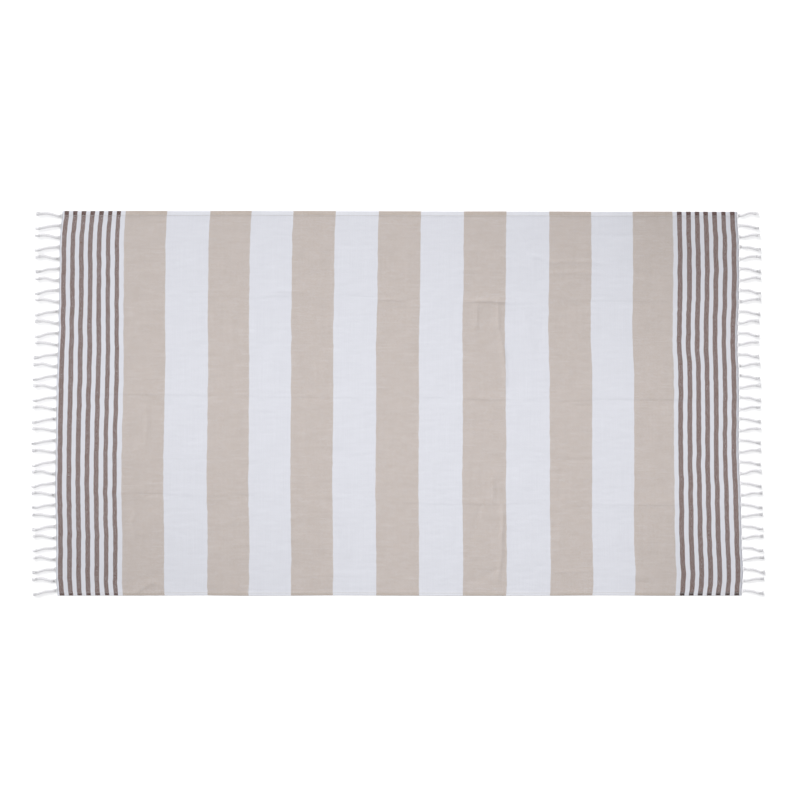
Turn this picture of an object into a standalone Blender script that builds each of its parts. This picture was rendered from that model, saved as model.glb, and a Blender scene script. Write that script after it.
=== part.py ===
"""A striped, flat-woven cotton beach towel that lies flat, with a fringe of twisted tassels on both short ends.

Units are metres. +X runs along the towel's length, +Y across it from the near hem to the far hem, and +Z is up.
The origin is on the surface that the towel lies on, in the middle of the towel's box.
"""

import math
import random
from collections import namedtuple

import bmesh
import bpy
from mathutils import Matrix, Vector

# Driving dimensions: the woven cloth. It is thin, and its two long sides are turned over once and sewn.
CLOTH_WIDTH = 1.000
CLOTH_HALF_LENGTH = 0.8820
CLOTH_THICK = 0.0012
HEM_THICK = 0.0024
FAR_HEM_WIDTH = 0.014
NEAR_HEM_WIDTH = 0.011
HEM_STEP = 0.002
COLUMNS = 10

# How far each end of the cloth is pulled along X where it lies, at several places across it.
Lay = namedtuple("Lay", "across left_end right_end")
LAY = (
    Lay(0.500, 0.0090, -0.0020),
    Lay(0.440, 0.0014, 0.0007),
    Lay(0.340, -0.0002, 0.0028),
    Lay(0.235, -0.0017, 0.0004),
    Lay(0.180, -0.0025, -0.0014),
    Lay(0.080, -0.0062, 0.0023),
    Lay(-0.030, -0.0089, 0.0026),
    Lay(-0.130, -0.0101, 0.0029),
    Lay(-0.235, -0.0115, 0.0068),
    Lay(-0.340, -0.0096, 0.0093),
    Lay(-0.440, -0.0098, 0.0124),
    Lay(-0.500, -0.0060, 0.0095),
)

# The creases left by folding the towel in four: sharp valleys between two low swells of the cloth.
Crease = namedtuple("Crease", "across_left across_right swell")
CREASES = (
    Crease(0.284, 0.258, 0.0016),
    Crease(0.025, 0.004, 0.0018),
    Crease(-0.236, -0.264, 0.0016),
)
SWELL_AT = 0.018
SWELL_END = 0.055

# Driving dimensions: the fringe. A narrow heading of loose warp ends runs along the cloth, and the tassels leave it.
PIECE_GAP = 0.0003
HEADING_WIDTH = 0.0032
TASSELS_PER_END = 36
FIRST_TASSEL = 0.0112
PAIR_PITCH = 0.0558
PAIR_SPACING = 0.0254
TASSEL_SIDES = 6
TASSEL_SEED = 11
LENGTH_SPREAD = 0.0015
ROOT_DEPTH = 0.0012

# A tassel from the heading outwards: flat where its ends are gathered, a round rope, a knot and a short tuft.
Section = namedtuple("Section", "along width height")
TASSEL = (
    Section(0.0000, 0.0115, 0.0008),
    Section(0.0060, 0.0080, 0.0046),
    Section(0.0150, 0.0074, 0.0066),
    Section(0.0310, 0.0074, 0.0066),
    Section(0.0460, 0.0074, 0.0066),
    Section(0.0505, 0.0100, 0.0090),
    Section(0.0545, 0.0080, 0.0062),
    Section(0.0590, 0.0094, 0.0034),
)

# How far the two tassels of a pair wander from a straight line, towards +Y, along their length.
Bend = namedtuple("Bend", "along far_one near_one")
BENDS = (
    Bend(0.000, 0.0000, 0.0000),
    Bend(0.008, 0.0016, -0.0002),
    Bend(0.016, 0.0040, -0.0010),
    Bend(0.028, 0.0067, -0.0034),
    Bend(0.038, 0.0068, -0.0058),
    Bend(0.048, 0.0048, -0.0076),
    Bend(0.059, 0.0026, -0.0082),
)


def curve_through(places, values, at):
    """The value at a place on a smooth curve through the listed ones, with the places in rising order."""
    at = min(max(at, places[0]), places[-1])
    last = len(places) - 2
    k = next(i for i in range(last + 1) if at <= places[i + 1])
    before, after = max(k - 1, 0), min(k + 2, last + 1)
    step = places[k + 1] - places[k]
    slope_in = (values[k + 1] - values[before]) / (places[k + 1] - places[before])
    slope_out = (values[after] - values[k]) / (places[after] - places[k])
    t = (at - places[k]) / step
    return (
        values[k] * (2 * t**3 - 3 * t**2 + 1)
        + values[k + 1] * (3 * t**2 - 2 * t**3)
        + slope_in * step * (t**3 - 2 * t**2 + t)
        + slope_out * step * (t**3 - t**2)
    )


def end_of_cloth(side, across):
    """The X of the cloth's last woven row on one side, -1 for the left end and 1 for the right."""
    rows = LAY[::-1]
    pulls = [row.left_end if side < 0 else row.right_end for row in rows]
    return side * CLOTH_HALF_LENGTH + curve_through([row.across for row in rows], pulls, across)


def thickness(across):
    """The cloth is two layers thick on its hems, with a short step down to one layer."""
    half = CLOTH_WIDTH / 2
    inside = min(half - across - FAR_HEM_WIDTH, half + across - NEAR_HEM_WIDTH)
    share = min(max(inside / HEM_STEP, 0), 1)
    return HEM_THICK + share * (CLOTH_THICK - HEM_THICK)


def row_places():
    """Where the cloth's rows of points lie at its left and right end, from the near hem to the far one."""
    half = CLOTH_WIDTH / 2
    fixed = [-half, -half + NEAR_HEM_WIDTH, -half + NEAR_HEM_WIDTH + HEM_STEP]
    fixed += [half - FAR_HEM_WIDTH - HEM_STEP, half - FAR_HEM_WIDTH, half]
    rows = [(place, place, 0.0) for place in fixed]
    for crease in CREASES:
        for offset in (-SWELL_END, -SWELL_AT, 0, SWELL_AT, SWELL_END):
            lift = crease.swell if abs(offset) == SWELL_AT else 0.0
            rows.append((crease.across_left + offset, crease.across_right + offset, lift))
    for place in (0.46, 0.42, 0.37, 0.14, -0.12, -0.36, -0.41, -0.45):
        rows.append((place, place, 0.0))
    return sorted(rows)


def finish(name, bm, colour):
    """Makes an object of a mesh, with its own cotton material."""
    bmesh.ops.recalc_face_normals(bm, faces=bm.faces)
    mesh = bpy.data.meshes.new(name)
    bm.to_mesh(mesh)
    bm.free()
    obj = bpy.data.objects.new(name, mesh)
    bpy.context.scene.collection.objects.link(obj)
    material = bpy.data.materials.new(name)
    material.use_nodes = True
    shader = material.node_tree.nodes["Principled BSDF"]
    shader.inputs["Base Color"].default_value = colour
    shader.inputs["Roughness"].default_value = 0.9
    shader.inputs["Metallic"].default_value = 0.0
    mesh.materials.append(material)
    return obj


def slab(point, height, columns, rows):
    """A closed sheet: a grid whose points a function places, thickened upwards by another function."""
    bm = bmesh.new()
    bmesh.ops.create_grid(bm, x_segments=columns, y_segments=rows, size=0.5)
    for vertex in bm.verts:
        column = round((vertex.co.x + 0.5) * columns)
        row = round((vertex.co.y + 0.5) * rows)
        vertex.co = point(column, row)
    raised = bmesh.ops.extrude_face_region(bm, geom=list(bm.faces))["geom"]
    for vertex in raised:
        if isinstance(vertex, bmesh.types.BMVert):
            vertex.co.z += height(vertex.co.y)
    return bm


def make_cloth():
    rows = row_places()

    def point(column, row):
        share = column / COLUMNS
        at_left, at_right, lift = rows[row]
        across = at_left + share * (at_right - at_left)
        left, right = end_of_cloth(-1, across), end_of_cloth(1, across)
        return Vector((left + share * (right - left), across, lift))

    return finish("cloth", slab(point, thickness, COLUMNS, len(rows) - 1), (0.62, 0.57, 0.53, 1))


def section_matrix(root, side, section, bend, reach):
    """Places a unit circle in the YZ plane as one section of a tassel."""
    along = section.along * reach
    sideways = curve_through([row.along for row in BENDS], [row[bend] for row in BENDS], section.along)
    centre = Vector((root.x + side * along, root.y + sideways, root.z + section.height / 2))
    return Matrix.Translation(centre) @ Matrix.Diagonal((1, section.width / 2, section.height / math.sqrt(3), 1))


def add_tassel(bm, root, side, bend, reach):
    """Draws one tassel out from its gathered root, inside the heading, to its tuft, and closes both ends."""
    upright = Matrix.Rotation(math.pi / 2, 4, "Y")
    made = bmesh.ops.create_circle(bm, cap_ends=True, segments=TASSEL_SIDES, radius=1, matrix=upright)
    ring = made["verts"]
    edges = list({edge for vertex in ring for edge in vertex.link_edges})
    now = Matrix.Identity(4)
    for number, section in enumerate(TASSEL):
        if number:
            grown = bmesh.ops.extrude_edge_only(bm, edges=edges)["geom"]
            ring = [item for item in grown if isinstance(item, bmesh.types.BMVert)]
            inside = set(ring)
            edges = [
                item
                for item in grown
                if isinstance(item, bmesh.types.BMEdge) and inside.issuperset(item.verts)
            ]
        following = section_matrix(root, side, section, bend, reach)
        bmesh.ops.transform(bm, matrix=following @ now.inverted(), verts=ring)
        now = following
    bmesh.ops.holes_fill(bm, edges=edges, sides=TASSEL_SIDES)


def make_fringe(name, side, seed):
    """One comb: the heading of loose warp ends, with its tassels joined to it by a union."""
    half = CLOTH_WIDTH / 2
    places = [row[0] if side < 0 else row[1] for row in row_places()]

    def point(column, row):
        away = PIECE_GAP + HEADING_WIDTH * column
        return Vector((end_of_cloth(side, places[row]) + side * away, places[row], 0))

    heading = slab(point, lambda across: CLOTH_THICK, 1, len(places) - 1)
    comb = finish(name, heading, (0.74, 0.75, 0.8, 1))
    chance = random.Random(seed)
    bm = bmesh.new()
    for number in range(TASSELS_PER_END):
        pair, partner = divmod(number, 2)
        across = half - FIRST_TASSEL - pair * PAIR_PITCH - partner * PAIR_SPACING
        edge = end_of_cloth(side, across) + side * (PIECE_GAP + HEADING_WIDTH - ROOT_DEPTH)
        reach = 1 + chance.uniform(-1, 1) * LENGTH_SPREAD / TASSEL[-1].along
        add_tassel(bm, Vector((edge, across, 0.0)), side, 1 + partner, reach)
    helper = finish(name + "_tassels", bm, (0.74, 0.75, 0.8, 1))
    helper.hide_render = True
    helper.display_type = "WIRE"
    join = comb.modifiers.new("tassels", "BOOLEAN")
    join.operation = "UNION"
    join.solver = "EXACT"
    join.object = helper
    return comb, helper


def centre_along_length(objects):
    """Moves everything along X, so that the origin is in the middle of the towel's box."""
    places = [vertex.co.x for obj in objects for vertex in obj.data.vertices]
    shift = -(min(places) + max(places)) / 2
    for obj in objects:
        obj.data.transform(Matrix.Translation((shift, 0, 0)))


for old in list(bpy.data.objects):
    bpy.data.objects.remove(old)

towel = [make_cloth()]
towel += make_fringe("fringe_left", -1, TASSEL_SEED)
towel += make_fringe("fringe_right", 1, TASSEL_SEED + 1)
centre_along_length(towel)
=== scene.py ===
import math
import random
from collections import namedtuple

import bmesh
import bpy
import numpy as np
from mathutils import Matrix, Vector


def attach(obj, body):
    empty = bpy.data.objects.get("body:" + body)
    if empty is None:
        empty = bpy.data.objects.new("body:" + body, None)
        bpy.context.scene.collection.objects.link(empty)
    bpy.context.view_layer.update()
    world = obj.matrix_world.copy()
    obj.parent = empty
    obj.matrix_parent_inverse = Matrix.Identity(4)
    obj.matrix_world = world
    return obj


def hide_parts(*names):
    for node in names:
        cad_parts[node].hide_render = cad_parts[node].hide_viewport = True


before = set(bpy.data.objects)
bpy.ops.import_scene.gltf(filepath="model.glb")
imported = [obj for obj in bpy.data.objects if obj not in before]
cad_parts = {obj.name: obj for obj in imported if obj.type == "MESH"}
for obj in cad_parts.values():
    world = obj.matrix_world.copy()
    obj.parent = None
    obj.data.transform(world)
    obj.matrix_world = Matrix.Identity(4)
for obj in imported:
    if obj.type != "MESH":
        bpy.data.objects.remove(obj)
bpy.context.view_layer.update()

# The camera hangs straight above the towel, a little past its middle, and looks down with a long lens. White walls
# light the room evenly, and a wide soft light stands low beyond the far hem, so that every crease has a lit side. A
# long soft box hangs over the middle.
CAMERA_LENS = 100
CAMERA_OVER = (0.0050, 0.0082)
CAMERA_SPAN = 2.081  # the width of floor that the camera sees
camera_data = bpy.data.cameras.new("overhead")
camera_data.lens = CAMERA_LENS
camera_data.clip_end = 60
camera = bpy.data.objects.new("overhead", camera_data)
camera.location = (*CAMERA_OVER, CAMERA_SPAN * CAMERA_LENS / camera_data.sensor_width)
bpy.context.scene.collection.objects.link(camera)
bpy.context.scene.camera = camera
bpy.context.scene.view_settings.view_transform = "Standard"

room = bpy.data.worlds.new("room")
room.use_nodes = True
room.node_tree.nodes["Background"].inputs["Color"].default_value = (0.985, 0.99, 1, 1)
room.node_tree.nodes["Background"].inputs["Strength"].default_value = 0.634
bpy.context.scene.world = room

wide = bpy.data.lights.new("wide_soft_light", "SUN")
wide.energy = 1.97
wide.angle = math.radians(32)
low_light = bpy.data.objects.new("wide_soft_light", wide)
low_light.rotation_mode = "QUATERNION"
low_light.rotation_quaternion = Vector((0.80, -1.12, -0.95)).to_track_quat("-Z", "Y")
bpy.context.scene.collection.objects.link(low_light)

overhead = bpy.data.lights.new("overhead_soft_box", "AREA")
overhead.shape = "RECTANGLE"
overhead.size = 1.9
overhead.size_y = 0.6
overhead.energy = 1.80
top_light = bpy.data.objects.new("overhead_soft_box", overhead)
top_light.location = (-0.10, -0.02, 0.8)
top_light.visible_camera = False
bpy.context.scene.collection.objects.link(top_light)


# The woven cloth: one length of thin hand-loom cotton, white warp along it and thicker dyed weft across it. Its long
# sides are turned over once and sewn, and its ends are left to the fringe. It was folded in four and then laid out.
CLOTH_WIDE = 1.000
CLOTH_LONG = 1.7747
CLOTH_THICK = 0.0007
THINNEST = 0.0004
FAR_HEM = 0.0135
NEAR_HEM = 0.0090
HEM_INSET = 0.0022  # from a hem's inner edge to its stitching
CLEAR = 0.0001  # of the surface that it lies on
LEVEL_MARGIN = 0.12  # the strip along each hem where the rows of threads turn back to run with the hem

# Where the rows and columns of the sheet lie closer together, for the creases: the ends of each stretch and its count.
Stretch = namedtuple("Stretch", "start end count")
ROWS = (
    Stretch(-0.5000, -0.4850, 9),
    Stretch(-0.4850, -0.2640, 72),
    Stretch(-0.2640, -0.2360, 22),
    Stretch(-0.2360, 0.0000, 76),
    Stretch(0.0000, 0.0290, 22),
    Stretch(0.0290, 0.2560, 73),
    Stretch(0.2560, 0.2850, 22),
    Stretch(0.2850, 0.4810, 63),
    Stretch(0.4810, 0.5000, 11),
)
COLUMNS = (
    Stretch(-0.8885, -0.7200, 20),
    Stretch(-0.7200, -0.6060, 26),
    Stretch(-0.6060, 0.1600, 92),
    Stretch(0.1600, 0.3000, 42),
    Stretch(0.3000, 0.5200, 30),
    Stretch(0.5200, 0.7200, 20),
    Stretch(0.7200, 0.8862, 20),
)


def cuts(stretches):
    """The places of all the lines that a table of stretches asks for."""
    places = [stretches[0].start]
    for stretch in stretches:
        places += list(np.linspace(stretch.start, stretch.end, stretch.count + 1)[1:])
    return np.array(places)


# How far the cloth is pulled along its length where it lies, in mm: each row is for one place across it, and has the
# pull at five stations from the left end to the right end. The threads slant a little more about two other places.
Lay = namedtuple("Lay", "across left first_band middle last_band right")
LAY = (
    Lay(0.500, 15.6, 7.8, 6.2, -4.0, -4.6),
    Lay(0.485, 14.2, 6.2, 5.8, -3.6, -3.8),
    Lay(0.440, 9.0, 2.8, 5.1, -3.2, -1.2),
    Lay(0.345, 7.4, 1.9, 4.3, -2.4, 0.6),
    Lay(0.275, 6.4, 1.5, 3.2, -3.4, 0.1),
    Lay(0.207, 5.1, 1.0, 0.8, -4.2, -2.2),
    Lay(0.160, 4.5, 1.7, 0.3, -3.6, -3.2),
    Lay(0.080, 1.4, 1.6, 0.0, 0.2, -0.4),
    Lay(0.000, -0.6, -0.5, 0.1, -0.1, 0.7),
    Lay(-0.074, -2.2, -2.4, -0.3, 0.4, 0.4),
    Lay(-0.150, -2.9, -4.0, -0.9, 0.7, 0.8),
    Lay(-0.220, -3.7, -4.6, -1.6, 0.0, 3.8),
    Lay(-0.300, -2.2, -3.2, -0.4, -0.2, 6.0),
    Lay(-0.370, -1.3, -1.9, 0.0, 1.2, 7.6),
    Lay(-0.450, -1.6, -2.4, 0.3, 3.6, 11.0),
    Lay(-0.485, 0.8, -1.9, 0.1, 3.0, 8.2),
    Lay(-0.500, 2.4, -0.8, 0.0, 0.8, 6.6),
)
LAY_STATIONS = (-0.8845, -0.7280, 0.0200, 0.6130, 0.8790)
Slant = namedtuple("Slant", "middle reach")
SLANTS = (Slant(-0.39, 0.17), Slant(0.33, 0.13))
SLANT_PULL = 1.8
SLANT_WAVE = 0.80
THREAD_WANDER = 0.00045


def smooth_through(places, values, at):
    """Values on a smooth curve through the listed ones, whose places rise, at each of an array of places."""
    places, values = np.array(places), np.array(values)
    slopes = np.gradient(values, places)
    at = np.clip(at, places[0], places[-1])
    k = np.clip(np.searchsorted(places, at, side="right") - 1, 0, len(places) - 2)
    step = places[k + 1] - places[k]
    t = (at - places[k]) / step
    start = values[k] * (2 * t**3 - 3 * t**2 + 1) + slopes[k] * step * (t**3 - 2 * t**2 + t)
    return start + values[k + 1] * (3 * t**2 - 2 * t**3) + slopes[k + 1] * step * (t**3 - t**2)


def ripples(x, y, length, aspect, seed, count=14):
    """A smooth, uneven ripple between about -1 and 1, drawn out along X by the aspect."""
    chance = random.Random(seed)
    total = np.zeros_like(x)
    for _ in range(count):
        turn = chance.uniform(0, 2 * math.pi)
        wave = 2 * math.pi / (length * chance.uniform(0.65, 1.6))
        along, over = wave * math.cos(turn) / aspect, wave * math.sin(turn)
        total += np.sin(along * x + over * y + chance.uniform(0, 2 * math.pi))
    return total / math.sqrt(count)


def from_hems(y):
    """A share that rises from 0 at each long edge to 1 where the cloth's level margin ends."""
    return np.clip((CLOTH_WIDE / 2 - np.abs(y)) / LEVEL_MARGIN, 0, 1)


def pulled(x, y):
    """How far a point of the flat cloth moves along X when it is laid out."""
    rows = LAY[::-1]
    across = [row.across for row in rows]
    pulls = [smooth_through(across, [row[n] for row in rows], y) for n in range(1, 6)]
    total = np.zeros_like(x)
    for n, (start, end) in enumerate(zip(LAY_STATIONS, LAY_STATIONS[1:])):
        share = np.clip((x - start) / (end - start), 0, 1)
        inside = (x >= start if n else x > -9) & (x < end if n < 3 else x < 9)
        total += inside * (pulls[n] * (1 - share) + pulls[n + 1] * share)
    tilt = SLANT_PULL * np.sin(math.pi * y / SLANT_WAVE) * from_hems(y)
    for slant in SLANTS:
        total -= tilt * np.exp(-(((x - slant.middle) / slant.reach) ** 2))
    return 0.001 * total + THREAD_WANDER * ripples(x, y, 0.050, 2.2, 5)


# The three creases left by folding: where each runs at the left and right end, how sharp it stands at the stations (a
# ridge, or a valley if negative) and how far it strays there, in mm, towards the far side. The flank
# that faces the low light is the gentle one.
Fold = namedtuple("Fold", "left right sharp strays")
FOLD_STATIONS = (-0.80, -0.66, -0.55, -0.44, -0.33, -0.22, -0.11, 0.0, 0.11, 0.22, 0.34, 0.45, 0.56, 0.67, 0.80)
FOLD_HEIGHT = 0.00085
FOLD_STEEP = 0.0034
FOLD_GENTLE = 0.0150
FOLDS = (
    Fold(
        0.284, 0.258,
        (0.3, -0.2, -0.2, -0.3, 0.55, 0.3, -0.2, -0.25, -0.2, 0.5, 0.35, -0.5, -0.45, -0.5, -0.4),
        (0, -3, -4, -5, 5, 4, -3, -5, 7, -4, -5, 0, 2, 2, 0),
    ),
    Fold(
        0.025, 0.004,
        (0.6, 0.65, 0.6, -0.35, -0.25, -0.5, -0.35, -0.1, -0.5, 1.1, 0.2, -0.4, -0.8, -1.3, -0.6),
        (2, 2, 2, 0, -5, -5, -5, -2, 0, 0, 2, -5, 0, 0, 0),
    ),
    Fold(
        -0.236, -0.264,
        (0.3, 0.4, 0.25, 0.25, 0.25, 0.3, 0.1, 0.35, 0.4, 0.6, 0.35, 0.15, 0.45, 0.85, 0.4),
        (3, 5, 5, 4, 2, 0, 0, -5, -8, -7, -3, 0, -3, -3, -2),
    ),
)

# Creases and puckers, one by one: their two ends, the height of the ridge (or the trough, if negative) and its
# width. A crease tapers at its ends and bows a little.
Crease = namedtuple("Crease", "x0 y0 x1 y1 height width")
CREASES = (
    Crease(0.176, 0.2640, 0.279, 0.2630, 0.0014, 0.0044),
    Crease(-0.330, 0.290, -0.234, 0.287, 0.0007, 0.0044),
    Crease(0.452, -0.004, 0.500, -0.006, -0.0006, 0.0040),
    Crease(0.206, 0.262, 0.205, 0.194, 0.0012, 0.0042),
    Crease(0.261, 0.262, 0.264, 0.200, 0.0016, 0.0042),
    Crease(0.264, 0.205, 0.277, 0.110, 0.0014, 0.0044),
    Crease(0.277, 0.160, 0.279, 0.036, 0.0015, 0.0045),
    Crease(0.166, -0.057, 0.232, -0.045, -0.0009, 0.0038),
    Crease(0.214, -0.268, 0.192, -0.353, -0.0011, 0.0040),
    Crease(0.273, -0.264, 0.268, -0.352, 0.0017, 0.0042),
    Crease(0.268, -0.346, 0.260, -0.458, 0.0016, 0.0045),
    Crease(0.247, -0.186, 0.247, -0.254, 0.0012, 0.0040),
    Crease(0.182, -0.462, 0.258, -0.430, -0.0010, 0.0042),
    Crease(-0.652, -0.008, -0.654, -0.101, 0.0013, 0.0045),
    Crease(-0.676, -0.235, -0.610, -0.236, -0.0008, 0.0036),
    Crease(-0.668, -0.246, -0.636, -0.268, -0.0013, 0.0038),
    Crease(-0.681, -0.281, -0.684, -0.306, 0.0012, 0.0042),
    Crease(-0.690, -0.300, -0.680, -0.350, 0.0010, 0.0044),
    Crease(-0.718, -0.357, -0.662, -0.436, -0.0012, 0.0050),
    Crease(-0.652, -0.451, -0.612, -0.440, -0.0012, 0.0038),
    Crease(-0.684, -0.497, -0.637, -0.469, 0.0011, 0.0042),
    Crease(-0.640, -0.469, -0.610, -0.478, 0.0009, 0.0040),
    Crease(-0.484, -0.268, -0.475, -0.309, -0.0006, 0.0044),
    Crease(-0.417, -0.240, -0.383, -0.241, -0.0007, 0.0034),
    Crease(-0.177, -0.281, -0.140, -0.392, 0.0017, 0.0046),
    Crease(-0.119, 0.279, -0.060, 0.276, -0.0006, 0.0034),
    Crease(-0.060, 0.268, 0.010, 0.266, 0.0006, 0.0034),
    Crease(-0.020, 0.250, 0.057, 0.249, -0.0006, 0.0034),
    Crease(0.304, 0.467, 0.357, 0.362, 0.0010, 0.0050),
    Crease(0.345, 0.384, 0.409, 0.363, 0.0009, 0.0036),
    Crease(0.400, 0.366, 0.525, 0.364, 0.0008, 0.0036),
    Crease(0.395, 0.337, 0.512, 0.337, 0.0008, 0.0036),
    Crease(0.512, 0.441, 0.656, 0.440, -0.0005, 0.0044),
    Crease(0.396, -0.144, 0.500, -0.144, -0.0006, 0.0036),
    Crease(0.401, -0.441, 0.505, -0.440, 0.0007, 0.0036),
    Crease(0.611, -0.461, 0.656, -0.470, -0.0008, 0.0036),
    Crease(0.330, 0.250, 0.352, 0.130, 0.0008, 0.0060),
    Crease(0.380, 0.215, 0.372, 0.140, -0.0004, 0.0060),
    Crease(-0.330, 0.120, -0.318, 0.020, 0.0007, 0.0080),
    Crease(0.078, 0.190, 0.092, 0.070, -0.0004, 0.0070),
    Crease(0.500, -0.300, 0.515, -0.400, 0.0004, 0.0060),
    Crease(-0.560, 0.430, -0.440, 0.424, 0.0004, 0.0050),
    Crease(-0.250, -0.452, -0.120, -0.447, 0.0005, 0.0050),
)
CREASE_BOW = 0.025
CREASE_TAPER = 14
CREASE_PAST_END = 0.02
CREASE_STEEP = 0.72
CREASE_GENTLE = 1.6
CREASE_SKIRT = 3.2
LIGHT_SLOPE = 0.72

# How the cloth swells and ripples between the creases: the height, the length of a ripple, how much longer it is along
# the towel than across it, its seed and how many waves make it.
SWELL = 0.00035
Ripple = namedtuple("Ripple", "height length aspect seed count")
RIPPLES = (
    Ripple(0.00024, 0.060, 1.6, 22, 14),
    Ripple(0.00011, 0.022, 2.2, 23, 22),
    Ripple(0.00007, 0.012, 4.0, 24, 26),
)


def line_distance(x, y, crease):
    """How far points are from a crease's line, and how far along it they are, from 0 to 1."""
    along_x, along_y = crease.x1 - crease.x0, crease.y1 - crease.y0
    long = math.hypot(along_x, along_y)
    along = ((x - crease.x0) * along_x + (y - crease.y0) * along_y) / long**2
    aside = ((x - crease.x0) * along_y - (y - crease.y0) * along_x) / long
    return aside, along


def lifted(x, y):
    """The height of the cloth's face over the surface that it lies on."""
    half = CLOTH_WIDE / 2
    height = CLEAR + CLOTH_THICK + SWELL * (1 + ripples(x, y, 0.260, 1.3, 21) / 2)
    for ripple in RIPPLES:
        height += ripple.height * ripples(x, y, ripple.length, ripple.aspect, ripple.seed, ripple.count)
    share = x / CLOTH_LONG + 0.5
    for n, fold in enumerate(FOLDS):
        sharp = smooth_through(FOLD_STATIONS, fold.sharp, x)
        stray = 0.001 * smooth_through(FOLD_STATIONS, fold.strays, x) + 0.0005 * ripples(x, 0 * y, 0.060, 1, 31 + n)
        aside = (y - fold.left - share * (fold.right - fold.left) - stray) * np.where(sharp < 0, -1, 1)
        height += FOLD_HEIGHT * sharp * np.exp(-((aside / np.where(aside < 0, FOLD_STEEP, FOLD_GENTLE)) ** 2))
    for crease in CREASES:
        aside, along = line_distance(x, y, crease)
        ends = 1 / (1 + np.exp(-CREASE_TAPER * (along + CREASE_PAST_END)))
        ends = ends / (1 + np.exp(CREASE_TAPER * (along - 1 - CREASE_PAST_END)))
        run_x, run_y = crease.x1 - crease.x0, crease.y1 - crease.y0
        aside = aside + CREASE_BOW * math.hypot(run_x, run_y) * np.sin(math.pi * along) * np.sign(crease.height)

        # The flank that faces the low light is the gentle one, on a ridge and in a trough alike.
        light_on_right = run_x + LIGHT_SLOPE * run_y < 0
        gentle = (aside > 0) == (light_on_right == (crease.height > 0))
        sharp = np.exp(-((aside / (crease.width * np.where(gentle, CREASE_GENTLE, CREASE_STEEP))) ** 2))
        broad = np.exp(-((aside / (crease.width * CREASE_SKIRT)) ** 2))
        height += ends * crease.height * (0.90 * sharp + 0.30 * broad)

    # Each hem is a second layer, drawn down along its stitching, puckered beside it and rounded at the very edge.
    for edge, hem in ((half - y, FAR_HEM), (half + y, NEAR_HEM)):
        height += CLOTH_THICK * 0.8 * np.clip((hem + 0.0030 - edge) / 0.0050, 0, 1)
        height -= 0.00010 * np.exp(-(((edge - hem + HEM_INSET) / 0.0016) ** 2))
        height += 0.00012 * ripples(x, y, 0.020, 1, 41) * np.exp(-edge / 0.02)
        height -= 0.00018 * np.exp(-edge / 0.0008)
    return np.maximum(height, CLEAR + THINNEST)


ROW_SLANT = 0.025
FAR_HEM_DRAWN_IN = 0.0022


def skewed(x, y):
    """Rows of the sheet slant a little, as the folds do, and are level again at the hems."""
    fade = from_hems(y)
    fade = fade * fade * (3 - 2 * fade)
    return y - ROW_SLANT * (x / CLOTH_LONG) * fade


def sideways(x, y):
    """How far a point of the flat cloth moves along Y: the far hem comes in a little towards the right end."""
    drawn_in = FAR_HEM_DRAWN_IN * np.clip((x + 0.54) / 1.3, 0, 1)
    return 0.0003 * ripples(x, y, 0.300, 1, 51) - drawn_in * (y / CLOTH_WIDE + 0.5)


def piece_of(name, bm):
    """Links a finished mesh as one smooth-shaded piece."""
    mesh = bpy.data.meshes.new(name)
    bm.to_mesh(mesh)
    bm.free()
    mesh.shade_smooth()
    obj = bpy.data.objects.new(name, mesh)
    bpy.context.scene.collection.objects.link(obj)
    return obj


# The sheet: a face of rows and columns, a rim and an underside, which is then laid out by the tables above. Its UV map
# keeps each point's place on the flat cloth, for the weave.
rows, columns = cuts(ROWS), cuts(COLUMNS)
bm = bmesh.new()
bmesh.ops.create_grid(bm, x_segments=len(columns) - 1, y_segments=len(rows) - 1, size=0.5)
for vertex in bm.verts:
    column = columns[round((vertex.co.x + 0.5) * (len(columns) - 1))]
    row = rows[round((vertex.co.y + 0.5) * (len(rows) - 1))]
    vertex.co = (column, row, 1)
rim = [edge for edge in bm.edges if edge.is_boundary]
lower = bmesh.ops.extrude_edge_only(bm, edges=rim)["geom"]
lower_verts = [item for item in lower if isinstance(item, bmesh.types.BMVert)]
bmesh.ops.translate(bm, verts=lower_verts, vec=(0, 0, -1))
lower_rim = [item for item in lower if isinstance(item, bmesh.types.BMEdge) and item.is_boundary]
bmesh.ops.contextual_create(bm, geom=lower_rim)

# The underside starts as one face and is cut every 50 mm, both ways.
cuts_below = [((x, 0, 0), (1, 0, 0)) for x in np.linspace(-0.85, 0.85, 35)]
cuts_below += [((0, y, 0), (0, 1, 0)) for y in np.linspace(-0.45, 0.45, 19)]
for place, direction in cuts_below:
    flat = [face for face in bm.faces if all(vertex.co.z < 0.5 for vertex in face.verts)]
    shape = flat + list(dict.fromkeys(item for face in flat for item in list(face.verts) + list(face.edges)))
    bmesh.ops.bisect_plane(bm, geom=shape, plane_co=place, plane_no=direction)
bmesh.ops.recalc_face_normals(bm, faces=bm.faces)
yarns = bm.loops.layers.uv.new("yarns")
for face in bm.faces:
    for loop in face.loops:
        loop[yarns].uv = (loop.vert.co.x, skewed(loop.vert.co.x, loop.vert.co.y))
cloth = piece_of("striped_cloth", bm)

spots = np.empty(len(cloth.data.vertices) * 3)
cloth.data.vertices.foreach_get("co", spots)
spots = spots.reshape(-1, 3)
flat_x, flat_y = spots[:, 0].copy(), skewed(spots[:, 0], spots[:, 1])
spots[:, 0] = flat_x + pulled(flat_x, flat_y)
spots[:, 1] = flat_y + sideways(flat_x, flat_y)
spots[:, 2] = np.where(spots[:, 2] > 0.5, lifted(flat_x, flat_y), CLEAR)
cloth.data.vertices.foreach_set("co", spots.ravel())
cloth.data.update()


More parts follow.
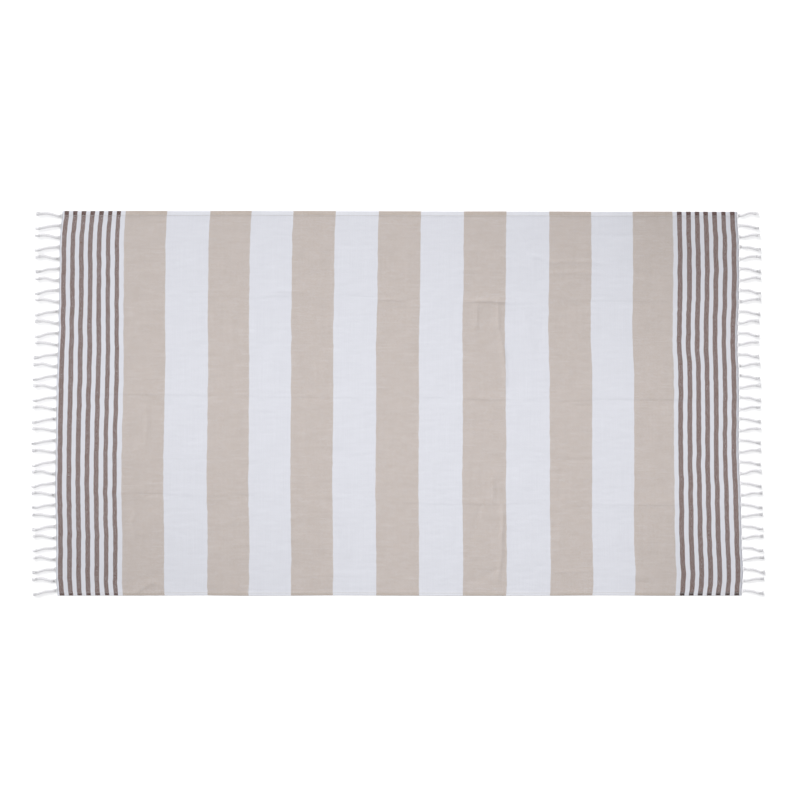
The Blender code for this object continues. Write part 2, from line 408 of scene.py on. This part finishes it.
class Value:
    """A number that varies over a surface. Arithmetic on it adds Math nodes to its material."""

    def __init__(self, finish, socket):
        self.finish = finish
        self.socket = socket

    def math(self, operation, *others):
        return self.finish.node("Math", {"operation": operation}, dict(enumerate((self, *others))))

    def __add__(self, other):
        return self.math("ADD", other)

    def __sub__(self, other):
        return self.math("SUBTRACT", other)

    def __rsub__(self, other):
        return (self * -1).math("ADD", other)

    def __mul__(self, other):
        return self.math("MULTIPLY", other)

    def __truediv__(self, other):
        return self.math("DIVIDE", other)

    def __mod__(self, other):
        return self.math("FLOORED_MODULO", other)

    def __lt__(self, other):
        return self.math("LESS_THAN", other)

    def __gt__(self, other):
        return self.math("GREATER_THAN", other)

    def __abs__(self):
        return self.math("ABSOLUTE")

    def limited(self):
        """The value, held between 0 and 1."""
        return self.math("MAXIMUM", 0.0).math("MINIMUM", 1.0)

    __radd__ = __add__
    __rmul__ = __mul__


class Finish:
    """A material: its Principled shader's constants are set here, and node() adds every other node."""

    def __init__(self, name, **constants):
        self.material = bpy.data.materials.new(name)
        self.material.use_nodes = True
        self.tree = self.material.node_tree
        self.shader = self.tree.nodes["Principled BSDF"]
        for socket, value in constants.items():
            self.shader.inputs[socket.replace("_", " ").title()].default_value = value

    def node(self, kind, settings=None, sockets=None, output=0):
        """Any node, from its type, its settings, and the values or links of its sockets."""
        node = self.tree.nodes.new("ShaderNode" + kind)
        for setting, value in (settings or {}).items():
            setattr(node, setting, value)
        for socket, value in (sockets or {}).items():
            self.feed(node.inputs[socket], value)
        return Value(self, node.outputs[output])

    def feed(self, socket, value):
        """Links a varying value to a socket, or sets a constant on it."""
        if isinstance(value, Value):
            self.tree.links.new(value.socket, socket)
        else:
            socket.default_value = value

    def mix(self, share, first, second, blend="MIX"):
        """Two colours mixed by a share from 0 to 1."""
        settings = {"data_type": "RGBA", "blend_type": blend}
        return self.node("Mix", settings, {0: share, 6: first, 7: second}, 2)

    def noise(self, place, scale, detail=2, roughness=0.5):
        sockets = {"Vector": place, "Scale": scale, "Detail": detail, "Roughness": roughness}
        return self.node("TexNoise", {}, sockets)

    def stretched(self, along, over, x, y):
        """A place on the surface, with its two directions scaled apart."""
        return self.node("CombineXYZ", {}, {0: along * x, 1: over * y})


# Colours of the yarns, and where the bands lie along the flat cloth, from its middle. The narrow brown stripes are
# seven at each end. Between them the wide bands are seven beige and six white: BAND_ENDS has both edges of each beige.
WARP_WHITE = (0.684, 0.689, 0.738, 1)
WEFT_WHITE = (0.678, 0.684, 0.735, 1)
WEFT_BEIGE = (0.495, 0.423, 0.375, 1)
WEFT_BROWN = (0.148, 0.080, 0.058, 1)
BAND_ENDS = (-0.7159, -0.6072, -0.4954, -0.3879, -0.2784, -0.1693, -0.0574, 0.0541)
BAND_ENDS += (0.1674, 0.2802, 0.3937, 0.5037, 0.6129, 0.7168)
Stripes = namedtuple("Stripes", "start pitch width count")
LEFT_STRIPES = Stripes(-0.8829, 0.02383, 0.0122, 7)
RIGHT_STRIPES = Stripes(0.7286, 0.02302, 0.0122, 7)
WARP_PITCH = 0.00085
WEFT_PITCH = 0.00095
WEFT_WANDER = 0.0036
THREADS_BEFORE = 2000  # added to a thread's number, so that none is negative
WARP_WIDE = 0.46
WARP_FLOAT = 0.78

weave = Finish("striped_weave", roughness=0.92, sheen_weight=0.08, sheen_roughness=0.6)
weave.shader.inputs["Specular IOR Level"].default_value = 0.25
place = weave.node("UVMap", {"uv_map": "yarns"})
parts = {"Vector": place}
across_bands = weave.node("SeparateXYZ", {}, parts, 0)
over_width = weave.node("SeparateXYZ", {}, parts, 1)

# Each weft thread wanders a little where it was beaten in, and a band changes colour with a whole thread.
wander = weave.noise(weave.stretched(across_bands, over_width, 10, 48), 1.0, 3, 0.6) - 0.5
weft_count = (across_bands + wander * WEFT_WANDER) / WEFT_PITCH + THREADS_BEFORE
along = (weft_count.math("FLOOR") - THREADS_BEFORE) * WEFT_PITCH

bands = (along > BAND_ENDS[0]) * (along < BAND_ENDS[1])
for start, end in zip(BAND_ENDS[2::2], BAND_ENDS[3::2]):
    bands = bands + (along > start) * (along < end)
browns = []
for stripes in (LEFT_STRIPES, RIGHT_STRIPES):
    from_start = along - stripes.start
    inside = (from_start > 0) * (from_start < stripes.pitch * stripes.count)
    browns.append(inside * (from_start % stripes.pitch < stripes.width))
brown = browns[0] + browns[1]

# Plain weave, with a thick weft and a thin warp: the warp passes over at every second crossing.
warp_count = over_width / WARP_PITCH + THREADS_BEFORE
on_top = (warp_count.math("FLOOR") + weft_count.math("FLOOR")) % 2
from_warp = abs(warp_count % 1 - 0.5) * 2
from_weft = abs(weft_count % 1 - 0.5) * 2
warp_shows = on_top * (from_warp < WARP_WIDE) * (from_weft < WARP_FLOAT)
yarn_height = on_top * (1 - from_warp * from_warp) * 0.9 + (1 - on_top) * (1 - from_weft * from_weft)

# Slubs: warp ends that run thick and thin for a hand's width, and weft threads that differ from their neighbours.
warp_streaks = weave.noise(weave.stretched(across_bands, over_width, 9, 520), 1.0, 3, 0.65)
weft_streaks = weave.noise(weave.stretched(across_bands, over_width, 420, 7), 1.0, 2, 0.6)
mottle = weave.noise(weave.stretched(across_bands, over_width, 30, 45), 1.0, 4, 0.6)

dyed = weave.mix(bands, WEFT_WHITE, WEFT_BEIGE)
dyed = weave.mix(brown, dyed, WEFT_BROWN)
thick_ends = weave.noise(weave.stretched(across_bands, over_width, 34, 300), 1.0, 2, 0.6)
thinner = (warp_streaks - 0.5) * (0.42 - brown * 0.22) + (thick_ends - 0.5) * (0.46 - brown * 0.10)
thinner = thinner + (mottle - 0.5) * 0.16 - browns[1] * 0.035
seen = weave.mix((warp_shows + thinner).limited(), dyed, WARP_WHITE)
tone = 1 + (weft_streaks - 0.5) * (0.085 + bands * 0.060 + brown * 0.090)
tone = tone + (warp_streaks - 0.5) * (0.060 + bands * 0.075 + brown * 0.120)
tone = tone + (mottle - 0.5) * (0.030 + bands * 0.060)

# Painted shade of the cloth's broad waves: the colour is darker towards the far right and near left corners, at the
# right end beside its hems and on the brown stripes by the near hem.
# Painted shade towards the far right and near left corners.
painted_corner_shade = (across_bands * over_width / 0.315).limited()
tone = tone - painted_corner_shade * 0.06
right_end = ((across_bands - 0.55) / 0.15).limited()
by_hems = ((abs(over_width) - 0.27) / 0.17).limited()
by_near_hem = ((over_width * -1 - 0.30) / 0.12).limited()
tone = tone - right_end * by_hems * 0.04 - brown * by_near_hem * 0.06

# A hem is two layers, which lets less of the light below come through the dyed yarn; that light is painted into the
# hem's colour. The brown stripes' hems at the right end of the near side get the darkest painted shade, and each long
# edge gets painted shade where the cloth turns down.
in_hem = (over_width > CLOTH_WIDE / 2 - FAR_HEM) + (over_width < NEAR_HEM - CLOTH_WIDE / 2)
painted_edge_shade = abs(over_width) > CLOTH_WIDE / 2 - 0.0011
light_hem = weave.mix(bands, (1.045, 1.045, 1.035, 1), (0.96, 0.940, 0.905, 1))
darkest_hem = (across_bands * 5).limited() * (over_width < 0)
hem_shade = weave.mix(brown, light_hem, weave.mix(darkest_hem, (0.60, 0.52, 0.51, 1), (0.38, 0.34, 0.34, 1)))
shaded = weave.mix(in_hem, (1, 1, 1, 1), hem_shade)
# Painted shade along each long edge, where the cloth turns down.
shaded = weave.mix(painted_edge_shade * (bands + brown) * 0.35, shaded, (0.55, 0.52, 0.50, 1), "MULTIPLY")
tint = weave.node("CombineXYZ", {}, {0: tone, 1: tone, 2: tone})
colour = weave.mix(1.0, weave.mix(1.0, seen, shaded, "MULTIPLY"), tint, "MULTIPLY")
weave.feed(weave.shader.inputs["Base Color"], colour)
relief = yarn_height * 0.00022 + warp_streaks * 0.00018 + weft_streaks * 0.00012 + mottle * 0.00060
bump = weave.node("Bump", {}, {"Height": relief, "Distance": 1.0, "Strength": 0.55})
weave.feed(weave.shader.inputs["Normal"], bump)
cloth.data.materials.append(weave.material)
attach(cloth, "root")
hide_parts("cloth")


# The fringe: the warp ends that run on past the last weft thread, gathered in 36 bundles at each end. Each bundle is
# split in two, twisted into a cord, knotted and left with a short tuft. Neighbours lie in pairs that lean apart, as
# BENDS says for each distance out from the cloth.
TASSELS = 36
FIRST_LEFT = 0.0133  # from the far edge to the first tassel
FIRST_RIGHT = 0.0121
PAIR_PITCH = 0.0558
PAIR_SPACING = 0.0254
BUNDLE_WIDE = 0.0118
CORD_FROM = 0.0036
CORD_TO = 0.0490
STRAND_RADIUS = 0.00265
STRAND_OFFSET = 0.00220
TWIST_PITCH = 0.0120  # for one whole turn of the two strands
KNOT_AT = 0.0505
KNOT_LONG = 0.0044
TUFT_END = 0.0600
ROOT_THREADS = 15
ROOT_THREAD_RADIUS = 0.00056
TUFT_THREADS = 30
TUFT_THREAD_RADIUS = 0.00070
TUFT_FLATNESS = 0.60
REACH_VARIES = 0.018
FAR_CORNER_LONGER = 0.10  # the first tassels of the left end come out further
Bend = namedtuple("Bend", "out leans_far leans_near lift")
BENDS = (
    Bend(0.000, 0.0000, 0.0000, 0.0000),
    Bend(0.010, 0.0003, 0.0000, 0.0000),
    Bend(0.018, 0.0023, -0.0005, 0.0004),
    Bend(0.026, 0.0042, -0.0011, 0.0006),
    Bend(0.034, 0.0060, -0.0031, 0.0004),
    Bend(0.042, 0.0062, -0.0057, 0.0002),
    Bend(0.049, 0.0052, -0.0075, 0.0001),
    Bend(0.062, 0.0040, -0.0082, 0.0000),
)


def tube(bm, start, stand_off, first_angle, radius, sides, turns, rise):
    """Winds a round strand about the X axis by a screw motion, from a circle that is square to the strand's path."""
    steepness = math.atan2(rise, 2 * math.pi * stand_off * turns)
    stand = Matrix.Rotation(first_angle, 4, "X") @ Matrix.Translation((start, stand_off, 0))
    stand = stand @ Matrix.Rotation(steepness, 4, "Y")
    ring = bmesh.ops.create_circle(bm, segments=sides, radius=radius, matrix=stand)["verts"]
    edges = list(dict.fromkeys(edge for vertex in ring for edge in vertex.link_edges))
    steps = round(14 * turns)
    step = (rise / steps, 0, 0)
    turn = 2 * math.pi * turns
    bmesh.ops.spin(bm, geom=ring + edges, cent=(0, 0, 0), axis=(1, 0, 0), dvec=step, angle=turn, steps=steps)
    ends = [edge for edge in bm.edges if edge.is_boundary]
    bmesh.ops.holes_fill(bm, edges=ends, sides=sides)


def thread(bm, points, radius, sides):
    """A thin yarn through a few points."""
    heading = points[1] - points[0]
    stand = Matrix.Translation(points[0]) @ heading.to_track_quat("Z", "Y").to_matrix().to_4x4()
    ring = bmesh.ops.create_circle(bm, segments=sides, radius=radius, matrix=stand)["verts"]
    edges = list(dict.fromkeys(edge for vertex in ring for edge in vertex.link_edges))
    for number in range(1, len(points)):
        before, point, after = points[number - 1], points[number], points[min(number + 1, len(points) - 1)]
        grown = bmesh.ops.extrude_edge_only(bm, edges=edges)["geom"]
        ring = [item for item in grown if isinstance(item, bmesh.types.BMVert)]
        inside = set(ring)
        edges = [item for item in grown if isinstance(item, bmesh.types.BMEdge) and inside.issuperset(item.verts)]
        bmesh.ops.translate(bm, verts=ring, vec=point - before)
        turn = heading.rotation_difference(after - before).to_matrix()
        bmesh.ops.rotate(bm, verts=ring, cent=point, matrix=turn)
        heading = after - before
    bmesh.ops.holes_fill(bm, edges=[edge for edge in bm.edges if edge.is_boundary], sides=sides)


def one_tassel(seed):
    """A straight tassel along +X from the cloth's edge, with its axis on the X axis."""
    chance = random.Random(seed)
    bm = bmesh.new()
    turns = (CORD_TO - CORD_FROM) / TWIST_PITCH
    for angle in (0, math.pi):
        tube(bm, CORD_FROM, STRAND_OFFSET, angle, STRAND_RADIUS, 8, turns, CORD_TO - CORD_FROM)
    tube(bm, KNOT_AT - KNOT_LONG / 2, 0.0025, 0, 0.0021, 8, 1.6, KNOT_LONG)
    cord_faces = set(bm.faces)

    # The loose ends that gather from the cloth into the cord, and then the tuft that spreads beyond the knot.
    for number in range(ROOT_THREADS):
        share = number / (ROOT_THREADS - 1) - 0.5
        spread = share * BUNDLE_WIDE
        points = [Vector((-0.0010, spread, -0.0018)), Vector((0.0010, spread * 0.92, -0.0012))]
        points += [Vector((0.0026, spread * 0.74, -0.0004)), Vector((CORD_FROM + 0.0010, share * 0.0068, 0.0002))]
        points += [Vector((CORD_FROM + 0.0040, share * 0.0040, chance.uniform(-0.0014, 0.0014)))]
        thread(bm, points, ROOT_THREAD_RADIUS, 6)
    for number in range(TUFT_THREADS):
        angle = 2 * math.pi * number / TUFT_THREADS * 3 + chance.uniform(-0.3, 0.3)
        spread = math.sqrt(chance.uniform(0.05, 1.0))
        longer = chance.uniform(0.80, 1.04)
        points = []
        for out, wide in ((0.0, 0.0022), (0.3, 0.0044), (0.65, 0.0056), (1.0, 0.0056)):
            angle += chance.uniform(-0.25, 0.25)
            long = KNOT_AT + (TUFT_END - KNOT_AT) * out * longer
            over, up = wide * spread * math.cos(angle), wide * TUFT_FLATNESS * spread * math.sin(angle)
            points.append(Vector((long, over, up)))
        thread(bm, points, TUFT_THREAD_RADIUS, 4)
    for face in bm.faces:
        face.material_index = 0 if face in cord_faces else 1
    bmesh.ops.recalc_face_normals(bm, faces=bm.faces)
    mesh = bpy.data.meshes.new("one_tassel")
    bm.to_mesh(mesh)
    bm.free()
    return mesh


def cloth_end(side, y):
    """The X of the cloth's end where it lies."""
    edge = np.full_like(y, COLUMNS[0].start if side < 0 else COLUMNS[-1].end)
    return edge + pulled(edge, y)


def fringe(name, side, first, reach, seed):
    """All the tassels of one end as one piece. Side is -1 at the left end, and reach scales how far they come out."""
    pattern = one_tassel(seed)
    bm = bmesh.new()
    for _ in range(TASSELS):
        bm.from_mesh(pattern)
    bpy.data.meshes.remove(pattern)
    obj = piece_of(name, bm)
    spots = np.empty(len(obj.data.vertices) * 3)
    obj.data.vertices.foreach_get("co", spots)
    spots = spots.reshape(TASSELS, -1, 3)
    chance = random.Random(seed + 100)
    outs = [row.out for row in BENDS]
    for number in range(TASSELS):
        pair, partner = divmod(number, 2)
        root = CLOTH_WIDE / 2 - first - pair * PAIR_PITCH - partner * PAIR_SPACING
        out, over, up = spots[number].T.copy()
        long = reach + chance.uniform(-REACH_VARIES, REACH_VARIES)
        long += FAR_CORNER_LONGER * math.exp(-number / 2.5) if side < 0 else 0
        pressed = 0.5 + 0.5 * np.clip(out / 0.016, 0, 1)

        # The cord is turned about its own axis, but its root is left flat. Then it bends, and lies on the ground.
        turn = chance.uniform(0, 2 * math.pi) * np.clip((out - CORD_FROM) / 0.0030, 0, 1)
        over, up = over * np.cos(turn) - up * np.sin(turn), over * np.sin(turn) + up * np.cos(turn)
        lean = smooth_through(outs, [row[1 + partner] for row in BENDS], out)
        lean = lean * chance.uniform(0.85, 1.15) + 0.0004 * np.sin(out * 160 + chance.uniform(0, 6.3))
        rest = smooth_through(outs, [row.lift for row in BENDS], out)
        thick = STRAND_OFFSET + STRAND_RADIUS + 0.0002 + 0.0010 * np.exp(-(((out - KNOT_AT) / 0.004) ** 2))
        y = root + over + lean

        # Its root follows the cloth's own edge, which is pulled this way and that.
        edge = cloth_end(side, np.array([root]))[0]
        own_edge = cloth_end(side, np.clip(y, -0.4995, 0.4995))
        at_cloth = np.clip(1 - out / CORD_FROM, 0, 1)
        spots[number, :, 0] = edge + (own_edge - edge) * at_cloth + side * out * long
        spots[number, :, 1] = y
        spots[number, :, 2] = np.maximum((up + thick) * pressed + rest + 0.0001, 0.0002)
    obj.data.vertices.foreach_set("co", spots.ravel())
    obj.data.update()
    bm = bmesh.new()
    bm.from_mesh(obj.data)
    bmesh.ops.recalc_face_normals(bm, faces=bm.faces)
    bm.to_mesh(obj.data)
    bm.free()
    obj.data.materials.append(cords.material)
    obj.data.materials.append(loose.material)
    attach(obj, "root")
    return obj


def cotton(name, dark, light, dirty, glow):
    """Bleached cotton yarn, between two tones, with a little dirt on it. A glow is light that passes through it."""
    finish = Finish(name, roughness=0.9, sheen_weight=0.12, sheen_roughness=0.5)
    finish.shader.inputs["Subsurface Weight"].default_value = glow
    finish.shader.inputs["Subsurface Scale"].default_value = 0.0040
    finish.shader.inputs["Subsurface Radius"].default_value = (1, 1, 1)
    finish.shader.inputs["Specular IOR Level"].default_value = 0.25
    where = finish.node("TexCoord", {}, {}, 3)
    fibres = finish.noise(finish.node("Mapping", {}, {"Vector": where, "Scale": (420, 1500, 1500)}), 1.0, 3, 0.6)
    soiled = finish.noise(where, 60, 3)
    yarn_tone = finish.mix(fibres, dark, light)
    finish.feed(finish.shader.inputs["Base Color"], finish.mix(soiled * 0.25, yarn_tone, dirty))
    raised = finish.node("Bump", {}, {"Height": fibres * 0.0004, "Distance": 1.0, "Strength": 0.6})
    finish.feed(finish.shader.inputs["Normal"], raised)
    return finish


cords = cotton("fringe_yarn", (0.760, 0.752, 0.772, 1), (0.842, 0.834, 0.853, 1), (0.775, 0.762, 0.762, 1), 0.60)
# The loose ends and tufts are the same yarn as the cords, painted lighter to cancel the shade between their thin
# threads.
loose = cotton("loose_yarn_painted_lighter", (0.820, 0.814, 0.832, 1), (0.890, 0.884, 0.900, 1), (0.820, 0.812, 0.815, 1), 0.0)
left_fringe = fringe("left_tassels", -1, FIRST_LEFT, 1.025, 7)
right_fringe = fringe("right_tassels", 1, FIRST_RIGHT, 0.925, 8)
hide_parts("fringe_left")
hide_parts("fringe_right")


# The hem stitching: one row of lockstitch in white sewing thread along the inner edge of each hem, put in by machine.
# It holds the turned-over hem down, and each stitch lies half sunk in the cloth.
STITCH_LONG = 0.0030
STITCH_PITCH = 0.0036
STITCH_RADIUS = 0.00032
STITCH_LIFT = 0.00012
UNSTITCHED = 0.004


def stitching(name, across):
    """One row of stitches along the whole cloth, at a place across it."""
    count = int((CLOTH_LONG - UNSTITCHED) / STITCH_PITCH)
    bm = bmesh.new()
    lie = Matrix.Rotation(math.pi / 2, 4, "Y")
    bmesh.ops.create_circle(bm, cap_ends=True, segments=6, radius=STITCH_RADIUS, matrix=lie)
    bmesh.ops.translate(bm, verts=bm.verts, vec=(-STITCH_LONG / 2, 0, 0))
    for forward, size in ((0.0006, 1.6), (0.0018, 1.0), (0.0006, 0.6)):
        face = max(bm.faces, key=lambda one: one.calc_center_median().x)
        grown = bmesh.ops.extrude_face_region(bm, geom=[face])["geom"]
        ring = [item for item in grown if isinstance(item, bmesh.types.BMVert)]
        bmesh.ops.delete(bm, geom=[face], context="FACES_ONLY")
        bmesh.ops.translate(bm, verts=ring, vec=(forward, 0, 0))
        bmesh.ops.scale(bm, verts=ring, vec=(1, size, size))
    pattern = bpy.data.meshes.new("one_stitch")
    bmesh.ops.recalc_face_normals(bm, faces=bm.faces)
    bm.to_mesh(pattern)
    bm.free()
    bm = bmesh.new()
    for _ in range(count):
        bm.from_mesh(pattern)
    bpy.data.meshes.remove(pattern)
    obj = piece_of(name, bm)
    spots = np.empty(len(obj.data.vertices) * 3)
    obj.data.vertices.foreach_get("co", spots)
    spots = spots.reshape(count, -1, 3)
    middles = (np.arange(count) - (count - 1) / 2) * STITCH_PITCH
    x = spots[:, :, 0] + middles[:, None]
    y = spots[:, :, 1] + across
    spots[:, :, 2] += lifted(x.ravel(), y.ravel()).reshape(x.shape) + STITCH_LIFT
    spots[:, :, 0] = x + pulled(x.ravel(), y.ravel()).reshape(x.shape)
    spots[:, :, 1] = y + sideways(x.ravel(), y.ravel()).reshape(x.shape)
    obj.data.vertices.foreach_set("co", spots.ravel())
    obj.data.update()
    obj.data.materials.append(thread_finish.material)
    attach(obj, "root")
    return obj


thread_finish = Finish("sewing_thread", roughness=0.7)
spun = thread_finish.noise(thread_finish.node("TexCoord", {}, {}, 3), 2500, 2)
thread_finish.feed(
    thread_finish.shader.inputs["Base Color"],
    thread_finish.mix(spun, (0.52, 0.50, 0.49, 1), (0.66, 0.65, 0.65, 1)),
)
far_stitches = stitching("far_hem_stitches", CLOTH_WIDE / 2 - FAR_HEM + HEM_INSET)
near_stitches = stitching("near_hem_stitches", NEAR_HEM - HEM_INSET - CLOTH_WIDE / 2)

# The studio floor: one wide sheet of white card, seamless, which the towel lies on.
FLOOR_WIDE = 24
FLOOR_BELOW = 0.0002
bm = bmesh.new()
bmesh.ops.create_grid(bm, x_segments=1, y_segments=1, size=FLOOR_WIDE / 2)
bmesh.ops.translate(bm, verts=bm.verts, vec=(0, 0, -FLOOR_BELOW))
floor = piece_of("studio_floor", bm)
card = Finish("white_card", roughness=0.95)
card.shader.inputs["Base Color"].default_value = (0.96, 0.96, 0.96, 1)
card.shader.inputs["Specular IOR Level"].default_value = 0.0
card.shader.inputs["Emission Color"].default_value = (1, 1, 1, 1)
card.shader.inputs["Emission Strength"].default_value = 0.22
floor.data.materials.append(card.material)
